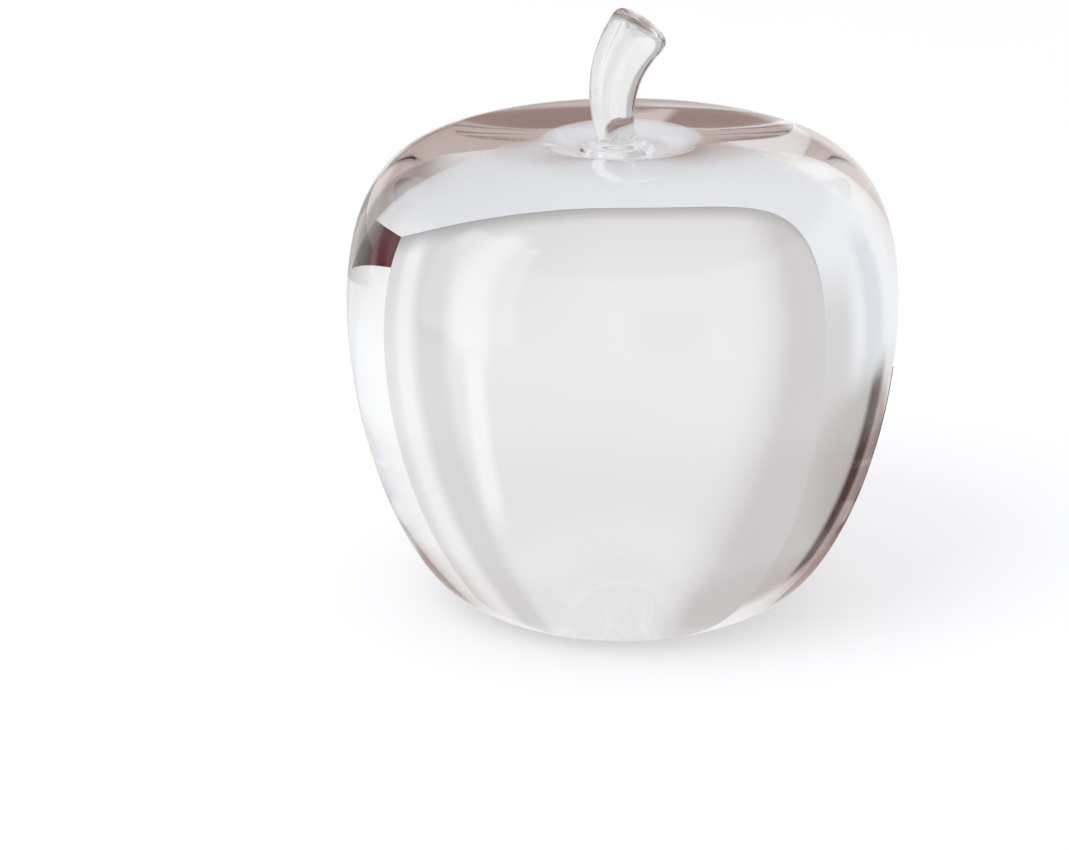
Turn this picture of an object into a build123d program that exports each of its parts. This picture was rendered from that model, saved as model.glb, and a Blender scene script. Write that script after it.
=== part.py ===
"""Solid crystal apple: a polished body with a clear foot and a bent stem bonded into its dimple.

Millimetres, +Z up, origin at the middle of the flat base. The stem bends towards +X.
"""

from build123d import *
import math
import os

# Body: a solid turned form with a ground base, a widest ring at the belly and a crest round the dimple
BODY_DIAMETER = 100.0
BODY_HEIGHT = 86.85
BELLY_HEIGHT = 55.5
CREST_DIAMETER = 46.0
BASE_DIAMETER = 54.0
BASE_ARRIS = 1.5
FLANK_LEAN = 16.0
DIMPLE_DEPTH = 2.75

# Fullness of the body's curves: each is the share of its span that a curve's handle covers
SHOULDER_STEEPNESS = 0.823
SHOULDER_FLATNESS = 0.567
FLANK_FULLNESS = 0.58
DIMPLE_FULLNESS = 0.26

# Foot: a small clear button with a rounded edge, standing a little off the body's axis
FOOT_DIAMETER = 12.9
FOOT_EDGE = 0.9
FOOT_CROWN = 1.65
FOOT_OFFSET = -0.9
SEAT_MARGIN = 0.3
LANDING_MARGIN = 0.3

# Bonds: cured clear adhesive under the foot and under the rod, squeezed out a little at the rim
FOOT_BOND = 0.15
FOOT_BOND_SPREAD = 0.4
ROD_BOND = 0.15
ROD_BOND_SPREAD = 0.2

# Rod: drawn thicker towards its lip, cut at a slant below, leaning one way and then bending the other
ROD_FOOT_DIAMETER = 6.85
ROD_MIDDLE_DIAMETER = 8.95
ROD_LIP_DIAMETER = 10.9
ROD_RISE = 18.05
ROD_SWAY = 2.9
ROD_CUT_LEAN = 6.0
ROD_FOOT_LEAN = 16.5
ROD_LIP_LEAN = 35.0
ROD_BEND_FULLNESS = 0.35
ROD_SECTIONS = 9

# Lip: the rod's fire-polished end, a low crown that rounds over into the rod's side
LIP_HEIGHT = 3.75
LIP_SIDE_FULLNESS = 0.875
LIP_CROWN_FULLNESS = 0.915

# Levels and radii that follow from the sizes above
BODY_RADIUS = BODY_DIAMETER / 2
CREST_RADIUS = CREST_DIAMETER / 2
BASE_RADIUS = BASE_DIAMETER / 2
FOOT_RADIUS = FOOT_DIAMETER / 2
FOOT_FLAT_RADIUS = FOOT_RADIUS - FOOT_EDGE / 2
ROD_BOND_RADIUS = ROD_FOOT_DIAMETER / 2 + ROD_BOND_SPREAD
LANDING_RADIUS = ROD_BOND_RADIUS + LANDING_MARGIN
SEAT_RADIUS = FOOT_RADIUS + FOOT_BOND_SPREAD + SEAT_MARGIN + abs(FOOT_OFFSET)
SEAT_LEVEL = BODY_HEIGHT - DIMPLE_DEPTH
FOOT_LEVEL = SEAT_LEVEL + FOOT_BOND
LANDING_LEVEL = FOOT_LEVEL + FOOT_CROWN
ROD_LEVEL = LANDING_LEVEL + ROD_BOND + ROD_BOND_RADIUS * math.tan(math.radians(ROD_CUT_LEAN))


def turned(edges):
    """Return the solid made by turning a closed outline of edges, drawn on the XZ plane, about Z."""
    return revolve(make_face(edges), axis=Axis.Z)


def make_apple_body():
    """Return the body: flank, shoulder and dimple are curves that meet with the same slope and bend."""
    shoulder_rise = SHOULDER_STEEPNESS * (BODY_HEIGHT - BELLY_HEIGHT)
    shoulder_reach = SHOULDER_FLATNESS * (BODY_RADIUS - CREST_RADIUS)
    flank_reach = FLANK_FULLNESS * (BODY_RADIUS - BASE_RADIUS)
    flank_climb = flank_reach * math.tan(math.radians(FLANK_LEAN))
    dimple_reach = DIMPLE_FULLNESS * (CREST_RADIUS - SEAT_RADIUS)

    # Handles that give the flank the shoulder's bend at the belly, and the dimple the shoulder's at the crest
    belly_left = BODY_RADIUS - CREST_RADIUS - shoulder_reach
    flank_left = BODY_RADIUS - BASE_RADIUS - flank_reach
    flank_drop = shoulder_rise * math.sqrt(flank_left / belly_left)
    crest_left = BODY_HEIGHT - BELLY_HEIGHT - shoulder_rise
    crest_reach = shoulder_reach * math.sqrt(DIMPLE_DEPTH / crest_left)

    base_edge = Vector(BASE_RADIUS, 0, 0)
    flank_handle = Vector(BASE_RADIUS + flank_reach, 0, flank_climb)
    belly = Vector(BODY_RADIUS, 0, BELLY_HEIGHT)
    crest = Vector(CREST_RADIUS, 0, BODY_HEIGHT)
    seat_edge = Vector(SEAT_RADIUS, 0, SEAT_LEVEL)
    seat_middle = Vector(0, 0, SEAT_LEVEL)
    up = Vector(0, 0, 1)
    out = Vector(1, 0, 0)

    outline = [
        Line((0, 0, 0), base_edge),
        Bezier(base_edge, flank_handle, belly - up * flank_drop, belly),
        Bezier(belly, belly + up * shoulder_rise, crest + out * shoulder_reach, crest),
        Bezier(crest, crest - out * crest_reach, seat_edge + out * dimple_reach, seat_edge),
        Line(seat_edge, seat_middle),
        Line(seat_middle, (0, 0, 0)),
    ]
    body = turned(outline)
    ground_edge = body.edges().filter_by(GeomType.CIRCLE).sort_by(Axis.Z)[0]
    return fillet(ground_edge, BASE_ARRIS)


def make_stem_foot():
    """Return the foot: flat underneath, round at the edge, rising softly to a flat landing for the rod."""
    edge_round = FOOT_EDGE / 2
    shoulder = Vector(FOOT_FLAT_RADIUS, 0, FOOT_EDGE)
    landing = Vector(LANDING_RADIUS, 0, FOOT_CROWN)
    bow = Vector((FOOT_FLAT_RADIUS - LANDING_RADIUS) / 2, 0, 0)
    under = Vector(FOOT_FLAT_RADIUS, 0, 0)
    widest = Vector(FOOT_RADIUS, 0, edge_round)
    crown = Vector(0, 0, FOOT_CROWN)
    outline = [
        Line((0, 0, 0), under),
        ThreePointArc(under, widest, shoulder),
        Bezier(shoulder, shoulder - bow, landing + bow, landing),
        Line(landing, crown),
        Line(crown, (0, 0, 0)),
    ]
    return Pos(FOOT_OFFSET, 0, FOOT_LEVEL) * turned(outline)


def make_foot_bond(stem_foot):
    """Return the film under the foot, with a small bead that climbs to the foot's widest ring.

    Args:
        stem_foot: The foot's solid, whose underside shapes the film.
    """
    bead_top = FOOT_BOND + FOOT_EDGE / 2
    points = [
        (0, 0, 0),
        (FOOT_RADIUS + FOOT_BOND_SPREAD, 0, 0),
        (FOOT_RADIUS, 0, bead_top),
        (0, 0, bead_top),
    ]
    outline = Polyline(*points, close=True).edges()
    return Pos(FOOT_OFFSET, 0, SEAT_LEVEL) * turned(outline) - stem_foot


def rod_path():
    """Return the rod's middle line, from the middle of its slanted cut to where its lip begins."""
    foot_lean = math.radians(ROD_FOOT_LEAN)
    lip_lean = math.radians(ROD_LIP_LEAN)
    handle = ROD_BEND_FULLNESS * ROD_RISE
    start = Vector(FOOT_OFFSET, 0, ROD_LEVEL)
    end = start + Vector(ROD_SWAY, 0, ROD_RISE)
    leave = Vector(-math.sin(foot_lean), 0, math.cos(foot_lean)) * handle
    arrive = Vector(math.sin(lip_lean), 0, math.cos(lip_lean)) * handle
    return Bezier(start, start + leave, end - arrive, end)


def rod_radius(share):
    """Return the rod's radius at a share of its path, through its foot, middle and lip diameters.

    Args:
        share: Place along the path, from 0 at the foot to 1 where the lip begins.
    """
    foot = ROD_FOOT_DIAMETER * (1 - share) * (1 - 2 * share)
    middle = ROD_MIDDLE_DIAMETER * 4 * share * (1 - share)
    lip = ROD_LIP_DIAMETER * share * (2 * share - 1)
    return (foot + middle + lip) / 2


def rod_cut():
    """Return the plane of the slanted cut at the rod's foot, which faces up along the rod."""
    lean = math.radians(ROD_CUT_LEAN)
    return Plane(origin=rod_path() @ 0, x_dir=(0, 1, 0), z_dir=(-math.sin(lean), 0, math.cos(lean)))


def make_lip(path):
    """Return the rounded end that carries on from the rod's side, with the same slope, and closes it.

    Args:
        path: The rod's middle line.
    """
    radius = ROD_LIP_DIAMETER / 2
    flare = (ROD_FOOT_DIAMETER - 4 * ROD_MIDDLE_DIAMETER + 3 * ROD_LIP_DIAMETER) / 2 / path.length
    climb = LIP_SIDE_FULLNESS * LIP_HEIGHT
    side = Vector(radius, 0, 0)
    side_handle = Vector(radius + flare * climb, 0, climb)
    crown_handle = Vector(LIP_CROWN_FULLNESS * radius, 0, LIP_HEIGHT)
    crown = Vector(0, 0, LIP_HEIGHT)
    outline = [
        Line((0, 0, 0), side),
        Bezier(side, side_handle, crown_handle, crown),
        Line(crown, (0, 0, 0)),
    ]
    return Plane(origin=path @ 1, x_dir=(0, 1, 0), z_dir=path % 1).location * turned(outline)


def make_stem_rod():
    """Return the rod: round sections along its path, cut at a slant below and rounded off above."""
    path = rod_path()
    stock = Plane(origin=path @ 0 - (path % 0) * ROD_FOOT_DIAMETER / 2, x_dir=(0, 1, 0), z_dir=path % 0)
    sections = [(stock * Circle(rod_radius(0))).face()]
    for index in range(ROD_SECTIONS):
        share = index / (ROD_SECTIONS - 1)
        plane = Plane(origin=path @ share, x_dir=(0, 1, 0), z_dir=path % share)
        sections.append((plane * Circle(rod_radius(share))).face())
    rod = split(loft(sections), bisect_by=rod_cut(), keep=Keep.TOP)
    return rod + make_lip(path)


def make_rod_bond():
    """Return the wedge of adhesive that fills the gap between the level landing and the rod's slanted cut."""
    height = ROD_LEVEL - LANDING_LEVEL + ROD_BOND_RADIUS
    pillar = Pos(FOOT_OFFSET, 0, LANDING_LEVEL) * extrude(Circle(ROD_BOND_RADIUS), height)
    return split(pillar, bisect_by=rod_cut(), keep=Keep.BOTTOM)


def main():
    """Build every piece and write one file for each."""
    stem_foot = make_stem_foot()
    pieces = {
        "apple_body": make_apple_body(),
        "foot_bond": make_foot_bond(stem_foot),
        "stem_foot": stem_foot,
        "rod_bond": make_rod_bond(),
        "stem_rod": make_stem_rod(),
    }
    os.makedirs("parts", exist_ok=True)
    for name, piece in pieces.items():
        export_step(piece, f"parts/{name}.step")
        print(f"{name}: {piece.volume:.2f} cubic millimetres")


main()
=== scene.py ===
"""Solid crystal apple with a bonded glass stem, dressed and lit for a bright studio picture.

Metres, +Z up, origin at the middle of the flat base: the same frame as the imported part.
The stem bends towards +X, and the picture is taken from the -Y side, a little from above.
"""

import logging
import math
import random
from bisect import bisect_left
from collections.abc import Iterable, Sequence
from dataclasses import dataclass, replace
from enum import Enum
from functools import cached_property
from itertools import accumulate

import bmesh
import bpy
from mathutils import Matrix, Vector
from mathutils.geometry import interpolate_bezier


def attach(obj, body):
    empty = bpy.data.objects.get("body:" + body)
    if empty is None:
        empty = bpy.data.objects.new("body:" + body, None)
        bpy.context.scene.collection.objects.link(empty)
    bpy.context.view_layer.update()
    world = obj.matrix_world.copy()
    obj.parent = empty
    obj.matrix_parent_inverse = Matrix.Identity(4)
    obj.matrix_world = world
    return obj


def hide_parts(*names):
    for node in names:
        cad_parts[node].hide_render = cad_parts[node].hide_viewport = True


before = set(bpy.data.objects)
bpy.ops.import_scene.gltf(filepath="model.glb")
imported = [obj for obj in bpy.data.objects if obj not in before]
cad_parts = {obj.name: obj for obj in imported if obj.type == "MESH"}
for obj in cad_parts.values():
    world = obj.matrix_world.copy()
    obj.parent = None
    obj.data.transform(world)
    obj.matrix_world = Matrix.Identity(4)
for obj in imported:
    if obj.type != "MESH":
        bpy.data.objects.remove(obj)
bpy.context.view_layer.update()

log = logging.getLogger("crystal_apple")

MM = 0.001
ROOT_BODY = "root"
WELD = 1e-7
UP = Vector((0.0, 0.0, 1.0))
# The inputs of a Mix node that take the share and the two colours.
COLOUR_INPUTS = (0, 6, 7)
# How many finer layers a noise has.
FINE_DETAIL = 4.0
SOME_DETAIL = 3.0
LITTLE_DETAIL = 2.0

Colour = tuple[float, float, float]
Place = tuple[float, float, float]
Span = tuple[float, float]
Socket = bpy.types.NodeSocket
Mesh = bmesh.types.BMesh
Edge = bmesh.types.BMEdge
Face = bmesh.types.BMFace


class Slot(Enum):
    """The pieces' material slots."""

    BODY = "body_crystal"
    STEM = "stem_glass"
    BOND = "clear_bond"


class Pattern(Enum):
    """Where a finish reads the place of its fine detail from."""

    SOLID = "object"
    DRAWN = "draw_lines"


class Wiring:
    """A node tree that is being wired, with short calls to add and join nodes."""

    def __init__(self, tree: bpy.types.NodeTree) -> None:
        """Take over the tree of a material or of the world, and clear it."""
        self.tree = tree
        tree.nodes.clear()

    def add(self, kind: str, **settings: object) -> bpy.types.Node:
        """Add a node.

        Args:
            kind: The node's type without its ShaderNode prefix.
            settings: Properties of the node to set.

        Returns:
            The new node.
        """
        node = self.tree.nodes.new("ShaderNode" + kind)
        for name, value in settings.items():
            setattr(node, name, value)
        return node

    def put(self, socket: Socket, value: object) -> None:
        """Link an input to a socket, or set it to a plain value.

        Args:
            socket: The input.
            value: A socket, a number, a vector or a colour.
        """
        if isinstance(value, Socket):
            self.tree.links.new(value, socket)
        elif isinstance(value, tuple) and socket.type == "RGBA":
            socket.default_value = (*value, 1.0)
        else:
            socket.default_value = value

    def fill(self, node: bpy.types.Node, *values: object, **named: object) -> bpy.types.Node:
        """Fill inputs of a node with sockets to link or with plain values.

        Args:
            node: The node.
            values: What its first inputs get, in order.
            named: What other inputs get, by their names with underscores for spaces.

        Returns:
            The same node.
        """
        sockets = [node.inputs[name.replace("_", " ")] for name in named]
        for socket, value in zip((*node.inputs[:len(values)], *sockets), (*values, *named.values())):
            self.put(socket, value)
        return node

    def math(self, operation: str, *values: object) -> Socket:
        """Return what a Math node makes of sockets or numbers."""
        return self.fill(self.add("Math", operation=operation), *values).outputs[0]

    def vector(self, operation: str, *values: object) -> Socket:
        """Return what a Vector Math node makes: a number for a distance or a dot product."""
        node = self.fill(self.add("VectorMath", operation=operation), *values)
        return node.outputs["Value" if operation in ("DISTANCE", "DOT_PRODUCT") else "Vector"]

    def ramp(self, value: Socket, start: float, end: float) -> Socket:
        """Return a smooth rise from 0 to 1 as a value goes from start to end."""
        node = self.add("MapRange", interpolation_type="SMOOTHSTEP")
        return self.fill(node, Value=value, From_Min=start, From_Max=end).outputs["Result"]

    def band(self, value: Socket, low: float, high: float, soft: float) -> Socket:
        """Return 1 where a value lies between two others, with soft edges, and 0 elsewhere."""
        rise = self.ramp(value, low - soft / 2, low + soft / 2)
        return self.math("MULTIPLY", rise, self.ramp(value, high + soft / 2, high - soft / 2))

    def blend(self, share: object, first: object, second: object) -> Socket:
        """Return a mix of two colours.

        Args:
            share: How much of the second colour there is.
            first: A colour or a socket.
            second: A colour or a socket.

        Returns:
            The mixed colour's socket.
        """
        node = self.add("Mix", data_type="RGBA")
        for index, value in zip(COLOUR_INPUTS, (share, first, second)):
            self.put(node.inputs[index], value)
        return node.outputs[2]

    def mix(self, share: object, first: Socket, second: Socket) -> Socket:
        """Return a mix of two shaders, with a share of the second one."""
        return self.fill(self.add("MixShader"), share, first, second).outputs["Shader"]

    def here(self) -> Socket:
        """Return the place in the object's own coordinates."""
        return self.add("TexCoord").outputs["Object"]

    def part(self, vector: Socket, axis: str) -> Socket:
        """Return one coordinate of a vector."""
        return self.fill(self.add("SeparateXYZ"), Vector=vector).outputs[axis]

    def noise(self, place: Socket, scale: float, detail: float, rough: float = 0.5) -> Socket:
        """Return soft noise, with a number of features in a metre."""
        node = self.fill(self.add("TexNoise"), Vector=place, Scale=scale)
        return self.fill(node, Detail=detail, Roughness=rough).outputs["Fac"]

    def ray(self, fact: str) -> Socket:
        """Return a fact about the ray that meets the surface."""
        return self.add("LightPath").outputs[fact]

    def mirrored_past(self, times: float) -> Socket:
        """Return 1 for light that was mirrored more often than a number of times."""
        return self.math("GREATER_THAN", self.ray("Glossy Depth"), times)

    def glow(self, colour: object, strength: float = 1.0) -> Socket:
        """Return a shader that shines with a colour."""
        return self.fill(self.add("Emission"), Color=colour, Strength=strength).outputs["Emission"]

    def clear(self) -> Socket:
        """Return a shader that lets all light pass."""
        return self.add("BsdfTransparent").outputs["BSDF"]

    def show(self, shader: Socket) -> None:
        """Make a shader the material's surface."""
        self.fill(self.add("OutputMaterial"), Surface=shader)


def new_material(name: str) -> tuple[bpy.types.Material, Wiring]:
    """Make a material.

    Args:
        name: Its name.

    Returns:
        The material and its empty tree.
    """
    material = bpy.data.materials.new(name)
    material.use_nodes = True
    return material, Wiring(material.node_tree)


@dataclass(frozen=True)
class ClearFinish:
    """A clear, polished finish: faint changes of tone, polish and level over the surface.

    Attributes:
        name: The material's name.
        ior: How strongly the material bends light.
        deep: The tone of its faintest veils.
        clear: The tone elsewhere.
        polish: Roughness where the polish is best.
        haze: Roughness where it is least good.
        grain: Patches of haze in a metre.
        wave: Ripples of the surface in a metre.
        wave_height: Height of the ripples, in metres.
        pattern: Where the detail's place is read from.
        scuffs: Roughness that standing has worn into the lowest faces.
        scuff_grain: Scuffs in a metre.
        scuff_levels: The level above which there are no scuffs, and the level where they are full.
        veil_size: How many times larger a veil is than a patch of haze.
        veil_range: The noise between which a veil changes its tone.
        haze_range: The noise between which the polish changes.
        haze_sharpness: How strong the smallest patches of haze are.
    """

    name: str
    ior: float
    deep: Colour
    clear: Colour
    polish: float
    haze: float
    grain: float
    wave: float
    wave_height: float
    pattern: Pattern = Pattern.SOLID
    scuffs: float = 0.0
    scuff_grain: float = 900.0
    scuff_levels: Span = (0.4 * MM, 0.1 * MM)
    veil_size: float = 2.5
    veil_range: Span = (0.35, 0.65)
    haze_range: Span = (0.35, 0.75)
    haze_sharpness: float = 0.6

    def place(self, wiring: Wiring) -> Socket:
        """Return the coordinates that the detail follows.

        Args:
            wiring: The material's tree.

        Returns:
            A vector socket.
        """
        if self.pattern is Pattern.DRAWN:
            return wiring.add("Attribute", attribute_name=Pattern.DRAWN.value).outputs["Vector"]
        return wiring.here()

    def roughness(self, wiring: Wiring, place: Socket) -> Socket:
        """Return the surface's roughness, worn where the piece stands if it has scuffs.

        Args:
            wiring: The material's tree.
            place: The coordinates that the detail follows.

        Returns:
            A value socket.
        """
        haze = wiring.noise(place, self.grain, FINE_DETAIL, self.haze_sharpness)
        low, high = self.haze_range
        spread = wiring.fill(wiring.add("MapRange"), Value=haze, From_Min=low, From_Max=high)
        rough = wiring.fill(spread, To_Min=self.polish, To_Max=self.haze).outputs["Result"]
        if self.scuffs:
            standing = wiring.ramp(wiring.part(place, "Z"), *self.scuff_levels)
            marks = wiring.noise(place, self.scuff_grain, SOME_DETAIL)
            worn = wiring.math("MULTIPLY", standing, wiring.math("MULTIPLY", marks, self.scuffs))
            rough = wiring.math("ADD", rough, worn)
        return rough

    def make(self) -> bpy.types.Material:
        """Make the material.

        Returns:
            A new material with a glass shader and procedural detail.
        """
        material, wiring = new_material(self.name)
        place = self.place(wiring)
        veil = wiring.noise(place, self.grain / self.veil_size, SOME_DETAIL)
        tone = wiring.blend(wiring.ramp(veil, *self.veil_range), self.deep, self.clear)
        ripple = wiring.noise(place, self.wave, LITTLE_DETAIL)
        bump = wiring.fill(wiring.add("Bump"), Height=ripple, Distance=self.wave_height)
        shader = wiring.add("BsdfPrincipled")
        wiring.fill(shader, Base_Color=tone, Roughness=self.roughness(wiring, place))
        wiring.fill(shader, IOR=self.ior, Transmission_Weight=1.0, Normal=bump.outputs["Normal"])
        wiring.show(shader.outputs["BSDF"])
        return material


@dataclass(frozen=True)
class ContactFinish:
    """Where two clear pieces meet with no air between: light crosses without turning.

    Attributes:
        name: The material's name.
        deep: The tone of the film's faint veils.
        clear: The tone elsewhere.
        grain: Veils in a metre.
        veil_range: The noise between which a veil changes its tone.
    """

    name: str = "bonded_contact"
    deep: Colour = (0.965, 0.965, 0.955)
    clear: Colour = (1.0, 1.0, 1.0)
    grain: float = 700.0
    veil_range: Span = (0.45, 0.7)

    def make(self) -> bpy.types.Material:
        """Make the material.

        Returns:
            A new material that passes light straight through.
        """
        material, wiring = new_material(self.name)
        veil = wiring.noise(wiring.here(), self.grain, FINE_DETAIL)
        tone = wiring.blend(wiring.ramp(veil, *self.veil_range), self.clear, self.deep)
        shader = wiring.add("BsdfPrincipled")
        wiring.fill(shader, Base_Color=tone, Roughness=0.0, IOR=1.0, Transmission_Weight=1.0)
        wiring.show(shader.outputs["BSDF"])
        return material


CRYSTAL = ClearFinish(
    name="polished_crystal", ior=1.5168, deep=(0.985, 0.988, 0.985), clear=(0.998, 0.999, 1.0),
    polish=0.0, haze=0.02, grain=60.0, wave=22.0, wave_height=0.00002, scuffs=0.12,
)
STEM_GLASS = ClearFinish(
    name="drawn_glass", ior=1.5168, deep=(0.80, 0.805, 0.80), clear=(0.94, 0.942, 0.94),
    polish=0.0, haze=0.03, grain=6.0, wave=5.0, wave_height=0.00004, pattern=Pattern.DRAWN,
)
ADHESIVE = ClearFinish(
    name="cured_adhesive", ior=1.5, deep=(0.95, 0.945, 0.92), clear=(0.99, 0.985, 0.975),
    polish=0.02, haze=0.12, grain=900.0, wave=1400.0, wave_height=0.00003,
)
FOOT_GLASS = ClearFinish(
    name="pressed_glass", ior=1.5168, deep=(0.975, 0.978, 0.978), clear=(0.998, 0.998, 0.998),
    polish=0.0, haze=0.04, grain=400.0, wave=350.0, wave_height=0.00002,
)
CONTACT = ContactFinish()


def flat(radius: float, level: float) -> Vector:
    """Return a point of an outline, from its radius and its level."""
    return Vector((radius, 0.0, level))


def leaning(degrees: float) -> Vector:
    """Return the direction that leans from upright towards +X."""
    return flat(math.sin(math.radians(degrees)), math.cos(math.radians(degrees)))


def straight(start: Vector, end: Vector, count: int) -> list[Vector]:
    """Return points along a line that crowd towards both its ends."""
    shares = (0.5 - 0.5 * math.cos(math.pi * index / (count - 1)) for index in range(count))
    return [start.lerp(end, share) for share in shares]


def arc(middle: Vector, radius: float, start: float, end: float, steps: int) -> list[Vector]:
    """Return points of an arc from one angle to another, both measured from straight down."""
    angles = (start + (end - start) * index / steps for index in range(steps + 1))
    return [middle + radius * flat(math.sin(angle), -math.cos(angle)) for angle in angles]


def joined(*stretches: Sequence[Vector]) -> list[Vector]:
    """Return one line of points from stretches that share their end points."""
    return [*stretches[0], *(point for stretch in stretches[1:] for point in stretch[1:])]


def turn(points: Sequence[Vector], axis_x: float, steps: int) -> Mesh:
    """Turn an outline about a vertical axis.

    Args:
        points: The outline in the XZ plane, with radii measured from the axis.
        axis_x: Where the axis stands.
        steps: How many steps make the full turn.

    Returns:
        A mesh with its poles closed.
    """
    bm = bmesh.new()
    offset = flat(axis_x, 0.0)
    corners = [bm.verts.new(point + offset) for point in points]
    geom = corners + [bm.edges.new(pair) for pair in zip(corners, corners[1:])]
    bmesh.ops.spin(bm, geom=geom, cent=offset, axis=UP, angle=math.tau, steps=steps, use_merge=True)
    bmesh.ops.remove_doubles(bm, verts=bm.verts, dist=WELD)
    return bm


def rim_edges(bm: Mesh) -> list[Edge]:
    """Return the edges of a mesh's open rims."""
    return [edge for edge in bm.edges if edge.is_boundary]


def add_ring(bm: Mesh, place: Matrix, radius: float, steps: int) -> list[Edge]:
    """Add a circle of edges to a mesh and return them."""
    made = bmesh.ops.create_circle(bm, cap_ends=False, segments=steps, radius=radius, matrix=place)
    return list({edge for vert in made["verts"] for edge in vert.link_edges})


def close_ring(bm: Mesh, edges: Iterable[Edge]) -> list[Face]:
    """Close a ring of edges with a fan of faces and return them."""
    cap = bmesh.ops.edgeloop_fill(bm, edges=list(edges))["faces"]
    return bmesh.ops.poke(bm, faces=cap)["faces"]


def cut_off(bm: Mesh, place: Vector, direction: Vector, **sides: bool) -> None:
    """Cut a mesh along a plane and clear one of its sides."""
    geom = [*bm.verts, *bm.edges, *bm.faces]
    bmesh.ops.bisect_plane(bm, geom=geom, plane_co=place, plane_no=direction, **sides)


def settle(bm: Mesh) -> None:
    """Weld a mesh's doubles and turn its faces outwards."""
    bmesh.ops.remove_doubles(bm, verts=bm.verts, dist=WELD)
    bmesh.ops.recalc_face_normals(bm, faces=bm.faces)


def mark_contact(faces: Sequence[Face]) -> None:
    """Put faces in the slot of the bonded look and keep their rim sharp.

    Args:
        faces: The faces that meet a neighbour.
    """
    for face in faces:
        face.material_index = 1
    for face in faces:
        for edge in face.edges:
            if any(other.material_index != 1 for other in edge.link_faces):
                edge.smooth = False


def add_bubbles(bm: Mesh, places: Iterable[tuple[Vector, Vector]]) -> None:
    """Add small hollow bubbles, whose faces point into the air that they hold.

    Args:
        bm: The mesh to add to.
        places: Each bubble's middle and its half sizes.
    """
    for middle, half in places:
        matrix = Matrix.LocRotScale(middle, None, half)
        made = bmesh.ops.create_icosphere(bm, subdivisions=2, radius=1.0, matrix=matrix)
        faces = {face for vert in made["verts"] for face in vert.link_faces}
        bmesh.ops.reverse_faces(bm, faces=list(faces))


def add_object(name: str, bm: Mesh) -> bpy.types.Object:
    """Make an object of the scene from a mesh.

    Args:
        name: The object's name.
        bm: Its mesh, which is freed.

    Returns:
        The object.
    """
    mesh = bpy.data.meshes.new(name)
    bm.to_mesh(mesh)
    bm.free()
    thing = bpy.data.objects.new(name, mesh)
    bpy.context.scene.collection.objects.link(thing)
    return thing


@dataclass
class Piece:
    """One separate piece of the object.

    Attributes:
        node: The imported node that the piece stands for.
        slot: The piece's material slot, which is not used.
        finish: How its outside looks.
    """

    node: str
    slot: Slot
    finish: ClearFinish

    def shape(self) -> Mesh:
        """Return the piece's mesh, with the faces that are bonded to a neighbour in slot 1."""
        raise NotImplementedError

    def build(self) -> None:
        """Make the piece's object, dress it and let it stand for its node."""
        bm = self.shape()
        for face in bm.faces:
            face.smooth = True
        piece = add_object(self.node + "_dressed", bm)
        self.dress(piece)
        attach(piece, ROOT_BODY)
        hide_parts(self.node)
        log.info("%s: %d faces", piece.name, len(piece.data.polygons))

    def dress(self, piece: bpy.types.Object) -> None:
        """Give the piece its finish outside and the bonded look where it meets its neighbours."""
        for finish in (self.finish, CONTACT):
            piece.data.materials.append(bpy.data.materials.get(finish.name) or finish.make())


@dataclass
class StemSeat:
    """The levels and circles at which the stem's pieces meet.

    Attributes:
        offset: How far the stem stands from the body's axis, along X.
        seat_level: Level of the body's ground seat.
        film: Thickness of both films of adhesive.
        foot_radius: The foot's widest radius.
        foot_edge: Height of the foot's rounded edge.
        foot_crown: Height of the foot.
        bead: How far the lower film spreads past the foot.
        rod_radius: The rod's radius at its lower end.
        rod_bead: How far the upper film spreads past the rod.
        landing_margin: Width of the foot's flat round the upper film.
        cut_lean: How far the rod's lower cut leans, in degrees.
        hair: The gap that keeps two bonded faces from lying on each other.
    """

    offset: float = -0.9 * MM
    seat_level: float = 84.1 * MM
    film: float = 0.15 * MM
    foot_radius: float = 6.45 * MM
    foot_edge: float = 0.9 * MM
    foot_crown: float = 1.65 * MM
    bead: float = 0.4 * MM
    rod_radius: float = 3.425 * MM
    rod_bead: float = 0.2 * MM
    landing_margin: float = 0.3 * MM
    cut_lean: float = 6.0
    hair: float = 0.01 * MM

    @property
    def axis(self) -> Vector:
        """The foot of the axis on which the stem's pieces stand."""
        return flat(self.offset, 0.0)

    @property
    def foot_level(self) -> float:
        """Level of the foot's underside."""
        return self.seat_level + self.film

    @property
    def foot_flat(self) -> float:
        """Radius of the foot's flat underside."""
        return self.foot_radius - self.foot_edge / 2

    @property
    def bead_radius(self) -> float:
        """Radius of the lower film's outer edge."""
        return self.foot_radius + self.bead

    @property
    def landing_level(self) -> float:
        """Level of the foot's flat top."""
        return self.foot_level + self.foot_crown

    @property
    def rod_bead_radius(self) -> float:
        """Radius of the upper film's outer edge."""
        return self.rod_radius + self.rod_bead

    @property
    def landing_radius(self) -> float:
        """Radius of the foot's flat top."""
        return self.rod_bead_radius + self.landing_margin

    @property
    def cut_slope(self) -> float:
        """How far the rod's lower cut climbs for each step along X."""
        return math.tan(math.radians(self.cut_lean))

    @property
    def rod_level(self) -> float:
        """Level of the middle of the rod's lower end."""
        return self.landing_level + self.film + self.rod_bead_radius * self.cut_slope

    @property
    def rod_start(self) -> Vector:
        """The middle of the rod's lower end."""
        return flat(self.offset, self.rod_level)

    @property
    def cut_direction(self) -> Vector:
        """The direction in which the rod's lower cut faces, up along the rod."""
        return leaning(-self.cut_lean)

    def reach(self, face: Face) -> float:
        """Return how far the middle of a face lies from the stem's axis."""
        return (face.calc_center_median() - self.axis).xy.length


SEAT = StemSeat()


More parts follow.
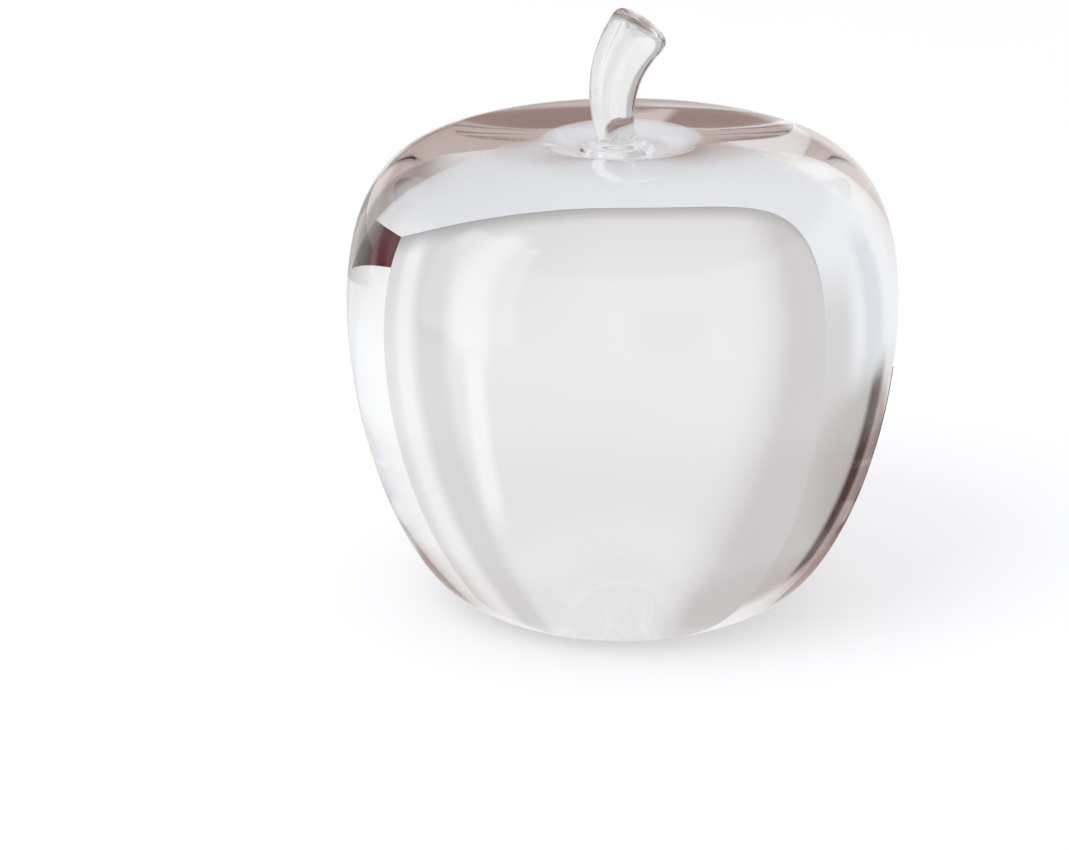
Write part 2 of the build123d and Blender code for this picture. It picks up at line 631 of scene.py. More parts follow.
@dataclass
class AppleBody(Piece):
    """The solid body: flank, shoulder and dimple run into each other with the same bend."""

    radius: float = 50.0 * MM
    height: float = 86.85 * MM
    belly: float = 55.5 * MM
    crest: float = 23.0 * MM
    base: float = 27.0 * MM
    arris: float = 1.5 * MM
    arris_gap: float = 0.05 * MM
    flank_lean: float = 16.0
    seat: float = 7.95 * MM
    shoulder_steepness: float = 0.823
    shoulder_flatness: float = 0.567
    flank_fullness: float = 0.58
    dimple_fullness: float = 0.26
    steps: int = 240
    points: int = 80
    base_points: int = 16
    arris_steps: int = 12

    def outline(self) -> list[Vector]:
        """Work out the outline.

        Returns:
            Points from the middle of the base up to the edge of the seat.
        """
        rise = self.shoulder_steepness * (self.height - self.belly)
        reach = self.shoulder_flatness * (self.radius - self.crest)
        flank_reach = self.flank_fullness * (self.radius - self.base)
        flank_climb = flank_reach * math.tan(math.radians(self.flank_lean))
        flank_left = self.radius - self.base - flank_reach
        flank_drop = rise * math.sqrt(flank_left / (self.radius - self.crest - reach))
        depth = self.height - SEAT.seat_level
        crest_reach = reach * math.sqrt(depth / (self.height - self.belly - rise))
        dimple_reach = self.dimple_fullness * (self.crest - self.seat)
        base = flat(self.base, 0.0)
        belly = flat(self.radius, self.belly)
        crest = flat(self.crest, self.height)
        seat = flat(self.seat, SEAT.seat_level)
        flank = interpolate_bezier(
            base, base + flat(flank_reach, flank_climb), belly - flat(0.0, flank_drop), belly,
            self.points * 2,
        )
        shoulder = interpolate_bezier(
            belly, belly + flat(0.0, rise), crest + flat(reach, 0.0), crest, self.points
        )
        dimple = interpolate_bezier(
            crest, crest - flat(crest_reach, 0.0), seat + flat(dimple_reach, 0.0), seat,
            self.points // 2,
        )
        return joined(self.rounded_base(flank), shoulder, dimple)

    def rounded_base(self, flank: Sequence[Vector]) -> list[Vector]:
        """Return the base and the flank, with the ground edge between them rounded.

        Args:
            flank: The flank's points, starting at the sharp edge.

        Returns:
            Points from the middle of the base to the belly.
        """
        lean = math.atan2(flank[1].z - flank[0].z, flank[1].x - flank[0].x)
        middle = flat(flank[0].x - self.arris * math.tan(lean / 2), self.arris)
        edge = arc(middle, self.arris, 0.0, lean, self.arris_steps)
        above = [point for point in flank if point.x > edge[-1].x + self.arris_gap]
        return joined(straight(Vector(), edge[0], self.base_points), edge) + above

    def shape(self) -> Mesh:
        """Make the body's mesh.

        Returns:
            The mesh, with the foot's place on its seat marked as bonded.
        """
        bm = turn(self.outline(), 0.0, self.steps)
        seat_rim = rim_edges(bm)
        place = Matrix.Translation(flat(SEAT.offset, SEAT.seat_level))
        film_rim = add_ring(bm, place, SEAT.bead_radius, self.steps)
        bmesh.ops.bridge_loops(bm, edges=seat_rim + film_rim)
        contact = close_ring(bm, film_rim)
        settle(bm)
        mark_contact(contact)
        return bm


@dataclass
class StemFoot(Piece):
    """The clear button under the rod: flat below, round at the edge, rising to a flat landing."""

    steps: int = 160
    under_points: int = 12
    edge_steps: int = 32
    slope_points: int = 40
    margin_points: int = 3
    top_points: int = 8

    def shape(self) -> Mesh:
        """Make the foot's mesh.

        Returns:
            The mesh, with its underside and the rod's place marked as bonded.
        """
        half = SEAT.foot_edge / 2
        level = SEAT.foot_level
        edge = arc(flat(SEAT.foot_flat, level + half), half, 0.0, math.pi, self.edge_steps)
        landing = flat(SEAT.landing_radius, SEAT.landing_level)
        bow = flat((SEAT.foot_flat - SEAT.landing_radius) / 2, 0.0)
        film_rim = flat(SEAT.rod_bead_radius, SEAT.landing_level)
        outline = joined(
            straight(flat(0.0, level), flat(SEAT.foot_flat, level), self.under_points),
            edge,
            interpolate_bezier(edge[-1], edge[-1] - bow, landing + bow, landing, self.slope_points),
            straight(landing, film_rim, self.margin_points),
            straight(film_rim, flat(0.0, SEAT.landing_level), self.top_points),
        )
        bm = turn(outline, SEAT.offset, self.steps)
        settle(bm)
        below = [face for face in bm.faces if face.calc_center_median().z < level + half]
        above = [
            face for face in bm.faces
            if face.calc_center_median().z > SEAT.landing_level - WELD
            and SEAT.reach(face) < SEAT.rod_bead_radius
        ]
        mark_contact(below + above)
        return bm


@dataclass
class FootBond(Piece):
    """The film of adhesive under the foot, with a small bead round the foot's edge.

    Its bubbles lie mostly under the front and right of the rod, and are flatter than the film.
    """

    steps: int = 160
    film_points: int = 12
    bead_points: int = 6
    hollow_steps: int = 16
    bubbles: int = 14
    bubble_angles: Span = (-1.9, 0.5)
    bubble_reaches: Span = (1.2 * MM, 5.4 * MM)
    bubble_sizes: Span = (0.08 * MM, 0.2 * MM)
    bubble_widths: Span = (0.7, 1.0)
    bubble_half_height: float = 0.045 * MM
    wall_foot: float = 0.0006 * MM
    seed: int = 7

    def shape(self) -> Mesh:
        """Make the film's mesh.

        Returns:
            The mesh, with all but the bead's outer wall marked as bonded.
        """
        bead_top = SEAT.foot_level + SEAT.foot_edge / 2
        under = SEAT.seat_level + SEAT.hair
        bead_foot = flat(SEAT.bead_radius, under)
        middle = flat(SEAT.foot_flat, bead_top)
        hollow = arc(middle, SEAT.foot_edge / 2 + SEAT.hair, math.pi / 2, 0.0, self.hollow_steps)
        outline = joined(
            straight(flat(0.0, under), bead_foot, self.film_points),
            straight(bead_foot, hollow[0], self.bead_points),
            hollow,
            straight(hollow[-1], flat(0.0, hollow[-1].z), self.film_points),
        )
        bm = turn(outline, SEAT.offset, self.steps)
        settle(bm)
        lean = (hollow[0].x - SEAT.bead_radius) / (bead_top - under)
        foot = SEAT.bead_radius - SEAT.hair

        def outside(face: Face) -> bool:
            """Tell whether a face belongs to the bead's outer wall."""
            climb = face.calc_center_median().z - under
            return climb > self.wall_foot and SEAT.reach(face) > foot + lean * climb

        mark_contact([face for face in bm.faces if not outside(face)])
        add_bubbles(bm, self.bubble_places())
        return bm

    def bubble_places(self) -> list[tuple[Vector, Vector]]:
        """Draw the places of the bubbles that the film holds.

        Returns:
            Their middles and their half sizes.
        """
        draw = random.Random(self.seed)
        level = flat(SEAT.offset, SEAT.seat_level + SEAT.film / 2)
        places = []
        for _ in range(self.bubbles):
            angle = draw.uniform(*self.bubble_angles)
            reach = draw.uniform(*self.bubble_reaches)
            middle = level + reach * Vector((math.cos(angle), math.sin(angle), 0.0))
            size = draw.uniform(*self.bubble_sizes)
            width = size * draw.uniform(*self.bubble_widths)
            places.append((middle, Vector((size, width, self.bubble_half_height))))
        return places


@dataclass
class RodBond(Piece):
    """The wedge of adhesive between the level foot and the leaning rod.

    Its bubbles are larger where it is thicker: half a bubble is at most a share of the thickness.
    """

    steps: int = 128
    sharp_angle: float = 25.0
    bubbles: int = 30
    bubble_areas: Span = (0.05, 0.86)
    bubble_sizes: Span = (0.07 * MM, 0.2 * MM)
    bubble_levels: Span = (0.1, 0.9)
    bubble_limit: float = 0.38
    bubble_flatness: float = 0.8
    seed: int = 19

    def shape(self) -> Mesh:
        """Make the wedge's mesh.

        Returns:
            The mesh, marked as bonded below to the foot and above to the rod.
        """
        height = SEAT.rod_level - SEAT.landing_level + SEAT.rod_bead_radius
        under = SEAT.landing_level + SEAT.hair
        cut = SEAT.rod_start - SEAT.hair * SEAT.cut_direction
        bm = bmesh.new()
        bmesh.ops.create_cone(
            bm, cap_ends=False, segments=self.steps, radius1=SEAT.rod_bead_radius,
            radius2=SEAT.rod_bead_radius, depth=height,
            matrix=Matrix.Translation(flat(SEAT.offset, under + height / 2)),
        )
        cut_off(bm, cut, SEAT.cut_direction, clear_outer=True)
        rims = rim_edges(bm)
        lower = [edge for edge in rims if max(vert.co.z for vert in edge.verts) < under + WELD]
        upper = [edge for edge in rims if edge not in lower]
        tilt = UP.rotation_difference(SEAT.cut_direction)
        rod_rim = add_ring(bm, Matrix.LocRotScale(cut, tilt, None), SEAT.rod_radius, self.steps)
        bmesh.ops.bridge_loops(bm, edges=upper + rod_rim)
        contact = close_ring(bm, lower) + close_ring(bm, rod_rim)
        settle(bm)
        for edge in bm.edges:
            if len(edge.link_faces) == 2 and edge.calc_face_angle() > math.radians(self.sharp_angle):
                edge.smooth = False
        mark_contact(contact)
        add_bubbles(bm, self.bubble_places())
        return bm

    def bubble_places(self) -> list[tuple[Vector, Vector]]:
        """Draw the places of the bubbles that the wedge holds.

        Returns:
            Their middles and their half sizes.
        """
        draw = random.Random(self.seed)
        places = []
        for _ in range(self.bubbles):
            angle = draw.uniform(0.0, math.tau)
            reach = SEAT.rod_radius * math.sqrt(draw.uniform(*self.bubble_areas))
            across = reach * math.cos(angle)
            thickness = SEAT.rod_level - SEAT.landing_level + across * SEAT.cut_slope
            size = min(self.bubble_limit * thickness, draw.uniform(*self.bubble_sizes))
            climb = draw.uniform(*self.bubble_levels) * (thickness - 2 * size)
            level = SEAT.landing_level + size + climb
            middle = Vector((SEAT.offset + across, reach * math.sin(angle), level))
            places.append((middle, Vector((size, size, size * self.bubble_flatness))))
        return places


@dataclass
class StemRod(Piece):
    """The bent rod: drawn thicker towards its rounded lip, with shallow draw lines along it.

    Each of its flutes is a count of waves round the rod, a share of the depth and a first angle.
    """

    middle_radius: float = 4.475 * MM
    lip_radius: float = 5.45 * MM
    rise: float = 18.05 * MM
    sway: float = 2.9 * MM
    foot_lean: float = 16.5
    lip_lean: float = 35.0
    bend_fullness: float = 0.35
    lip_height: float = 3.75 * MM
    lip_side_fullness: float = 0.875
    lip_crown_fullness: float = 0.915
    line_points: int = 401
    shaft_rings: int = 84
    lip_rings: int = 30
    steps: int = 160
    flute_depth: float = 0.03
    flute_twist: float = 1.6
    flutes: tuple[tuple[int, float, float], ...] = (
        (3, 0.5, 0.7), (5, 0.25, 2.9), (8, 0.15, 5.1), (13, 0.1, 1.3)
    )
    drawn_stretch: float = 0.25

    @cached_property
    def handles(self) -> tuple[Vector, Vector, Vector, Vector]:
        """Work out the curve of the rod's middle line.

        Returns:
            Its start, its two handles and its end.
        """
        handle = self.bend_fullness * self.rise
        start = SEAT.rod_start
        end = start + flat(self.sway, self.rise)
        after_start = start + handle * leaning(-self.foot_lean)
        return start, after_start, end - handle * leaning(self.lip_lean), end

    @cached_property
    def reaches(self) -> list[float]:
        """Measure the middle line.

        Returns:
            Lengths along it at even steps of its curve.
        """
        points = interpolate_bezier(*self.handles, self.line_points)
        steps = ((after - before).length for before, after in zip(points, points[1:]))
        return list(accumulate(steps, initial=0.0))

    def path(self, share: float) -> tuple[Vector, Vector]:
        """Return a point of the rod's middle line and the direction there.

        Args:
            share: Place along the line's length, from 0 at the foot to 1 where the lip begins, or
                below 0 for the straight stock under the foot.

        Returns:
            The point and the unit direction.
        """
        start, after_start, before_end, end = self.handles
        goal = max(share, 0.0) * self.reaches[-1]
        step = min(max(bisect_left(self.reaches, goal), 1), len(self.reaches) - 1)
        before, after = self.reaches[step - 1], self.reaches[step]
        along = (step - 1 + (goal - before) / (after - before)) / (len(self.reaches) - 1)
        rest = 1.0 - along
        point = rest**3 * start + 3 * rest**2 * along * after_start
        point += 3 * rest * along**2 * before_end + along**3 * end
        slope = rest**2 * (after_start - start) + 2 * rest * along * (before_end - after_start)
        slope = (slope + along**2 * (end - before_end)).normalized()
        return point + min(share, 0.0) * self.reaches[-1] * slope, slope

    def radius(self, share: float) -> float:
        """Return the rod's radius, on a curve through its radii at the foot, middle and lip.

        Args:
            share: Place along the line, from 0 at the foot to 1 where the lip begins.

        Returns:
            The radius, which under the foot is the foot's own.
        """
        share = max(share, 0.0)
        foot = SEAT.rod_radius * (1 - share) * (1 - 2 * share)
        middle = self.middle_radius * 4 * share * (1 - share)
        return foot + middle + self.lip_radius * share * (2 * share - 1)

    def lip_outline(self) -> list[Vector]:
        """Work out the lip's rounded outline.

        Returns:
            Points from the rod's side to the middle of its crown.
        """
        slant = (SEAT.rod_radius - 4 * self.middle_radius + 3 * self.lip_radius) / self.reaches[-1]
        climb = self.lip_side_fullness * self.lip_height
        side = flat(self.lip_radius, 0.0)
        over = flat(self.lip_crown_fullness * self.lip_radius, self.lip_height)
        crown = flat(0.0, self.lip_height)
        after_side = side + flat(slant * climb, climb)
        return interpolate_bezier(side, after_side, over, crown, self.lip_rings + 2)

    def flute(self, angle: float, share: float) -> float:
        """Return how much of the radius is left where a draw line runs.

        Args:
            angle: Place round the rod.
            share: Place along the rod.

        Returns:
            A factor of at most 1, which is 1 at both ends of the rod.
        """
        fade = math.sin(math.pi * min(max(share, 0.0), 1.0)) ** 0.5
        twist = self.flute_twist * share
        wave = sum(part * math.cos(count * angle + first + twist) for count, part, first in self.flutes)
        return 1.0 - self.flute_depth * fade * (1.0 - wave) / 2

    def tube(self) -> Mesh:
        """Make a straight open tube of radius 1.

        Returns:
            Its mesh, with rings one apart for the shaft and the lip.
        """
        bm = bmesh.new()
        ring = add_ring(bm, Matrix.Identity(4), 1.0, self.steps)
        rings = self.shaft_rings + self.lip_rings
        bmesh.ops.spin(bm, geom=ring + list(bm.verts), angle=0.0, axis=UP, dvec=UP, steps=rings)
        return bm

    def bend(self, bm: Mesh) -> None:
        """Lay a straight tube along the rod's line and over its lip, with its draw lines.

        Args:
            bm: The tube.
        """
        drawn = bm.verts.layers.float_vector.new(Pattern.DRAWN.value)
        lip = self.lip_outline()
        stock = -SEAT.rod_radius / self.reaches[-1]
        for vert in bm.verts:
            ring = round(vert.co.z)
            angle = math.atan2(vert.co.y, vert.co.x)
            share = stock + (1.0 - stock) * min(ring / self.shaft_rings, 1.0)
            past = lip[max(ring - self.shaft_rings, 0)]
            middle, direction = self.path(share)
            reach = past.x if ring > self.shaft_rings else self.radius(share) * self.flute(angle, share)
            outward = Vector((math.cos(angle), math.sin(angle), 0.0))
            around = UP.rotation_difference(direction) @ (reach * outward)
            vert.co = middle + past.z * direction + around
            vert[drawn] = outward + self.drawn_stretch * share * UP

    def shape(self) -> Mesh:
        """Make the rod's mesh.

        Returns:
            The mesh, cut at a slant where it is bonded and closed at its crown.
        """
        bm = self.tube()
        self.bend(bm)
        cut_off(bm, SEAT.rod_start, SEAT.cut_direction, clear_inner=True)
        rims = rim_edges(bm)
        level = SEAT.rod_level + self.rise / 2
        contact = close_ring(bm, [edge for edge in rims if edge.verts[0].co.z < level])
        close_ring(bm, [edge for edge in rims if edge.verts[0].co.z > level])
        settle(bm)
        mark_contact([face for face in contact if face.is_valid])
        return bm


@dataclass
class PictureCamera:
    """The picture's viewpoint: a long lens from a little above, aimed past the object's middle."""

    width_px: float = 1069.0
    height_px: float = 850.0
    target_px: Span = (622.1, 305.0)
    px_per_mm: float = 5.498
    target_level: float = 55.0 * MM
    distance: float = 0.7
    elevation: float = 16.4
    sensor: float = 36.0
    clip: Span = (0.01, 20.0)

    def build(self) -> None:
        """Make the camera and make it the scene's own."""
        camera = bpy.data.cameras.new("picture_camera")
        camera.sensor_width = self.sensor
        span = self.width_px / self.px_per_mm * MM
        camera.lens = self.sensor * self.distance / span
        camera.clip_start, camera.clip_end = self.clip
        eye = bpy.data.objects.new("picture_camera", camera)
        bpy.context.scene.collection.objects.link(eye)
        target = self.target_level * UP
        rise = math.radians(self.elevation)
        eye.location = target + self.distance * Vector((0.0, -math.cos(rise), math.sin(rise)))
        focal_px = self.distance / MM * self.px_per_mm
        yaw = math.atan((self.target_px[0] - self.width_px / 2) / focal_px)
        pitch = math.atan((self.height_px / 2 - self.target_px[1]) / focal_px)
        look = (target - eye.location).to_track_quat("-Z", "Y").to_matrix()
        turned = look @ Matrix.Rotation(yaw, 3, "Y") @ Matrix.Rotation(-pitch, 3, "X")
        eye.rotation_mode = "QUATERNION"
        eye.rotation_quaternion = turned.to_quaternion()
        bpy.context.scene.camera = eye


class Sight(Enum):
    """Which of the light that the glass sends on shows a thing."""

    ALL = "all of it"
    TURNED = "what was mirrored at least once, on the glass or in it"
    MIRRORED = "what the glass mirrors on its outside"
    THROUGH = "what comes straight through the glass"


@dataclass(frozen=True)
class Panel:
    """A soft-edged patch of the room, as the glass shows it.

    Attributes:
        bearing: From and to, in degrees from straight back, positive to the right.
        climb: From and to, in degrees above level.
        colour: Its brightness.
        soft: Width of its soft sides and of its soft top and bottom, in degrees.
        lean: How far its sides go to the right for each degree of climb.
        sight: Which light shows it.
    """

    bearing: Span
    climb: Span
    colour: Colour
    soft: Span
    lean: float = 0.0
    sight: Sight = Sight.ALL

    def share(self, wiring: Wiring, bearing: Socket, climb: Socket) -> Socket:
        """Return how much of the panel there is in a direction.

        Args:
            wiring: The tree of the world or of a material.
            bearing: The direction's bearing, in radians.
            climb: Its height above level, in radians.

        Returns:
            A socket that is 1 inside the panel and 0 outside it.
        """
        upright = wiring.math("SUBTRACT", bearing, wiring.math("MULTIPLY", climb, self.lean))
        side_soft, end_soft = map(math.radians, self.soft)
        sides = wiring.band(upright, *map(math.radians, self.bearing), side_soft)
        ends = wiring.band(climb, *map(math.radians, self.climb), end_soft)
        return wiring.math("MULTIPLY", sides, ends)


@dataclass(frozen=True)
class Card:
    """A card that stands on the floor, where only the glass shows it.

    Attributes:
        name: The card's name.
        line: Its two ends on the floor, in millimetres.
        heights: Its height at each end, in millimetres.
        colours: Its colour at each end.
        sight: Which light shows it.
        change: Where along the card the colour begins and ends to change.
    """

    name: str
    line: tuple[Span, Span]
    heights: Span
    colours: tuple[Colour, Colour]
    sight: Sight = Sight.ALL
    change: Span = (0.42, 0.66)

    def build(self) -> None:
        """Make the card."""
        start, end = (Vector((*place, 0.0)) * MM for place in self.line)
        heights = [height * MM for height in self.heights]
        sheet, wiring = add_stage(self.name, standing((start, end), heights))
        reach = (end - start) / (end - start).length_squared
        share = wiring.vector("DOT_PRODUCT", wiring.here(), reach)
        changed = wiring.ramp(share, *(start.dot(reach) + part for part in self.change))
        add_glow(sheet, wiring, wiring.blend(changed, *self.colours), self.sight)


WHITE: Colour = (1.0, 1.0, 1.0)
PALE_ROOM: Colour = (0.98, 0.98, 0.985)
WARM_GREY: Colour = (0.30, 0.212, 0.186)
EDGES = (
    Panel((-125.0, -62.0), (-60.0, 30.0), (0.82, 0.85, 0.90), (8.0, 10.0)),
    Panel((-62.0, -50.0), (-27.0, 6.0), (0.66, 0.69, 0.745), (6.0, 10.0)),
    Panel((-44.0, -30.0), (-18.0, 6.0), (0.64, 0.625, 0.625), (7.0, 12.0)),
    Panel((-78.0, -58.0), (-4.0, 34.0), (0.52, 0.44, 0.425), (12.0, 10.0), lean=0.3),
    Panel((-53.5, -33.0), (-7.0, 30.0), (0.56, 0.54, 0.53), (6.0, 8.0), lean=0.2),
    Panel((-63.0, -53.5), (-5.0, 28.0), (0.02, 0.006, 0.004), (5.0, 6.0), lean=0.33),
)
BACK_EDGES = tuple(
    replace(panel, bearing=(panel.bearing[0] + 180.0, panel.bearing[1] + 180.0), sight=Sight.THROUGH)
    for panel in EDGES
)
ROOM = (
    *EDGES,
    *BACK_EDGES,
    Panel((-200.0, 200.0), (48.5, 120.0), WARM_GREY, (8.0, 13.0)),
    Panel((-200.0, 200.0), (29.0, 120.0), WARM_GREY, (8.0, 10.0), sight=Sight.TURNED),
    Panel((-45.0, 16.0), (7.0, 60.0), WARM_GREY, (10.0, 6.0), sight=Sight.TURNED),
    Panel((-18.0, 4.0), (-3.0, 10.0), WARM_GREY, (6.0, 5.0), sight=Sight.MIRRORED),
    Panel((148.0, 173.5), (-8.0, 8.0), (0.30, 0.27, 0.265), (12.0, 14.0), sight=Sight.TURNED),
    # Painted reflections of a tall strip lamp at the left front: brighter than white, but only the
    # glass's outside mirrors them.
    Panel((-136.0, -90.0), (-9.0, 46.0), (1.7, 1.7, 1.75), (5.0, 4.0), sight=Sight.MIRRORED),
    Panel((-124.0, -107.0), (-22.0, 52.0), (3.4, 3.4, 3.5), (10.0, 14.0), sight=Sight.MIRRORED),
)
CARDS = (
    Card("white_card", ((47.0, 101.0), (150.0, 20.0)), (75.0, 75.0), (WHITE, WHITE), Sight.THROUGH),
    Card(
        "dark_card", ((47.0, 100.0), (65.2, 58.4)), (13.0, 23.4),
        ((0.09, 0.002, 0.008), (0.05, 0.05, 0.04)),
    ),
    Card(
        "olive_card", ((-100.0, 220.0), (-330.0, 220.0)), (60.0, 60.0),
        ((0.22, 0.22, 0.205), (0.16, 0.16, 0.145)), Sight.MIRRORED,
    ),
)
# Light was mirrored at least once, often or very often where its count of mirrorings is past these.
ONCE = 0.5
OFTEN = 2.5
VERY_OFTEN = 4.5
DEEP_LEFT: Colour = (0.60, 0.50, 0.475)
DEEP_RIGHT: Colour = (0.92, 0.90, 0.90)
DEEP_CEILING: Colour = (0.30, 0.21, 0.182)
DEEP_OPENING = Panel((-2.0, 45.0), (30.0, 70.0), (0.66, 0.57, 0.53), (12.0, 8.0))
DEEP_ACROSS: Span = (-0.1, 0.6)
DEEP_CLIMB: Span = (0.0, math.radians(20.0))
DEEP_CARD_ACROSS: Span = (-20.0 * MM, 80.0 * MM)


def deepen(wiring: Wiring, shown: object, deep: Socket) -> Socket:
    """Return a colour, or a dim and warm one in light that was mirrored often in the glass."""
    deep = wiring.blend(wiring.mirrored_past(VERY_OFTEN), deep, DEEP_LEFT)
    return wiring.blend(wiring.mirrored_past(OFTEN), shown, deep)


def room_colour(wiring: Wiring, toward: Socket, plain: object, panels: Iterable[Panel]) -> Socket:
    """Return what the glass shows in a direction.

    Args:
        wiring: The tree of the world or of a material.
        toward: The direction, as a vector of length 1.
        plain: The colour where there is no panel, or its socket.
        panels: The panels, from the rearmost to the foremost.

    Returns:
        The colour's socket.
    """
    right, back = wiring.part(toward, "X"), wiring.part(toward, "Y")
    bearing = wiring.math("ARCTAN2", right, back)
    climb = wiring.math("ARCSINE", wiring.part(toward, "Z"))
    turned = wiring.mirrored_past(ONCE)
    sights = {
        Sight.TURNED: turned,
        Sight.MIRRORED: wiring.ray("Is Reflection Ray"),
        Sight.THROUGH: wiring.math("SUBTRACT", 1.0, turned),
    }
    room = plain
    for panel in panels:
        share = panel.share(wiring, bearing, climb)
        if panel.sight in sights:
            share = wiring.math("MULTIPLY", share, sights[panel.sight])
        room = wiring.blend(share, room, panel.colour)
    level = wiring.blend(wiring.ramp(right, *DEEP_ACROSS), DEEP_LEFT, DEEP_RIGHT)
    above = wiring.blend(DEEP_OPENING.share(wiring, bearing, climb), DEEP_CEILING, DEEP_OPENING.colour)
    return deepen(wiring, room, wiring.blend(wiring.ramp(climb, *DEEP_CLIMB), level, above))


def in_glass(wiring: Wiring) -> Socket:
    """Return 1 for what the glass mirrors or lets through."""
    return wiring.math("MAXIMUM", wiring.ray("Is Glossy Ray"), wiring.ray("Is Transmission Ray"))


def standing(line: Sequence[Vector], heights: Sequence[float]) -> Mesh:
    """Return a sheet that stands on a line on the floor.

    Args:
        line: The line's points.
        heights: The sheet's height at each of them.

    Returns:
        The sheet's mesh.
    """
    bm = bmesh.new()
    lower = [bm.verts.new(point) for point in line]
    upper = [bm.verts.new(point + height * UP) for point, height in zip(line, heights)]
    for index in range(len(line) - 1):
        bm.faces.new((lower[index], lower[index + 1], upper[index + 1], upper[index]))
    return bm


def add_stage(name: str, bm: Mesh) -> tuple[bpy.types.Object, Wiring]:
    """Make an object of the stage, with a material of the same name.

    Args:
        name: The object's name.
        bm: Its mesh, which is freed.

    Returns:
        The object and its material's empty tree.
    """
    thing = add_object(name, bm)
    material, wiring = new_material(name)
    thing.data.materials.append(material)
    return thing, wiring


def keep_in_glass(thing: bpy.types.Object, sight: Sight) -> None:
    """Let a thing neither hide nor light anything but the glass.

    Args:
        thing: The object.
        sight: Which light shows it.
    """
    thing.visible_camera = False
    thing.visible_diffuse = False
    thing.visible_shadow = False
    thing.visible_volume_scatter = False
    thing.visible_transmission = sight is not Sight.MIRRORED
    thing.visible_glossy = sight is not Sight.THROUGH


def add_glow(card: bpy.types.Object, wiring: Wiring, colour: Socket, sight: Sight) -> None:
    """Let a card or a wall glow with a colour in the glass alone.

    Args:
        card: The object.
        wiring: Its material's tree.
        colour: The colour's socket.
        sight: Which light shows it.
    """
    across = wiring.ramp(wiring.part(wiring.here(), "X"), *DEEP_CARD_ACROSS)
    glow = wiring.glow(deepen(wiring, colour, wiring.blend(across, DEEP_LEFT, DEEP_RIGHT)))
    if sight is Sight.THROUGH:
        glow = wiring.mix(wiring.mirrored_past(ONCE), glow, wiring.clear())
    wiring.show(glow)
    keep_in_glass(card, sight)


@dataclass
class Floor:
    """The pale floor, which fades into the white round it.

    The glass shows it greyer, with a painted warm shade round the base and a painted dark, warm
    reflection at the right, which only the glass's outside mirrors. The room's panels are seen on it
    too, from the pivot.
    """

    radius: float = 0.9
    drop: float = 0.05 * MM
    sides: int = 96
    grain: float = 40.0
    matt: tuple[Colour, Colour] = ((0.89, 0.89, 0.90), (0.91, 0.91, 0.92))
    middle: Place = (0.0, 0.2, 0.0)
    fade: Span = (0.33, 0.52)
    in_picture: Colour = (0.95, 0.955, 0.975)
    in_picture_share: float = 0.55
    in_glass_tones: tuple[Colour, Colour] = ((0.80, 0.82, 0.86), (0.92, 0.925, 0.94))
    in_glass_change: Span = (15.0 * MM, 60.0 * MM)
    # Painted warm shade round the base, as the glass shows the floor, and where it begins and ends.
    shade: Colour = (0.50, 0.40, 0.38)
    shade_inside: Span = (30.0 * MM, 44.0 * MM)
    shade_outside: Span = (53.0 * MM, 45.0 * MM)
    shade_aside: Span = (5.0 * MM, 15.0 * MM)
    # Paler painted shade right under the base.
    shade_under_base: Colour = (0.70, 0.68, 0.675)
    # A painted dark, warm reflection at the right, seen only in light that the glass's outside mirrors.
    warm: Colour = (0.24, 0.15, 0.135)
    painted_reflection_middle: Place = (88.0 * MM, 36.0 * MM, 0.0)
    painted_reflection_edge: Span = (75.0 * MM, 40.0 * MM)
    pivot: Place = (10.5 * MM, 47.5 * MM, 40.0 * MM)

    def shown_in_glass(self, wiring: Wiring, place: Socket) -> Socket:
        """Return the colour that the glass shows at a place of the floor.

        Args:
            wiring: The floor's tree.
            place: The place.

        Returns:
            The colour's socket.
        """
        from_axis = wiring.vector("DISTANCE", place, Vector())
        across = wiring.part(place, "X")
        shown = wiring.blend(wiring.ramp(across, *self.in_glass_change), *self.in_glass_tones)
        # Painted shade round the base, paler right under it.
        outward = wiring.ramp(from_axis, *self.shade_inside)
        aside = wiring.ramp(wiring.math("ABSOLUTE", across), *self.shade_aside)
        aside = wiring.math("MAXIMUM", aside, wiring.math("SUBTRACT", 1.0, outward))
        near = wiring.math("MULTIPLY", aside, wiring.ramp(from_axis, *self.shade_outside))
        shown = wiring.blend(near, shown, wiring.blend(outward, self.shade_under_base, self.shade))
        # Painted dark, warm reflection at the right, only in light that the glass's outside mirrors.
        warm = wiring.ramp(wiring.vector("DISTANCE", place, self.painted_reflection_middle), *self.painted_reflection_edge)
        warm = wiring.math("MULTIPLY", warm, wiring.ray("Is Reflection Ray"))
        shown = wiring.blend(warm, shown, self.warm)
        toward = wiring.vector("NORMALIZE", wiring.vector("SUBTRACT", place, self.pivot))
        panels = [panel for panel in ROOM if panel.sight is Sight.ALL]
        return room_colour(wiring, toward, shown, panels)

    def build(self) -> None:
        """Make the floor."""
        bm = bmesh.new()
        level = Matrix.Translation(-self.drop * UP)
        bmesh.ops.create_circle(
            bm, cap_ends=True, segments=self.sides, radius=self.radius, matrix=level
        )
        _, wiring = add_stage("floor", bm)
        place = wiring.here()
        colour = wiring.blend(wiring.noise(place, self.grain, SOME_DETAIL), *self.matt)
        matt = wiring.fill(wiring.add("BsdfDiffuse"), Color=colour).outputs["BSDF"]
        glass = in_glass(wiring)
        glow = wiring.glow(wiring.blend(glass, self.in_picture, self.shown_in_glass(wiring, place)))
        seen = wiring.math("MULTIPLY", wiring.ray("Is Camera Ray"), self.in_picture_share)
        pale = wiring.mix(wiring.math("MAXIMUM", glass, seen), matt, glow)
        fade = wiring.ramp(wiring.vector("DISTANCE", place, self.middle), *self.fade)
        wiring.show(wiring.mix(fade, pale, wiring.clear()))


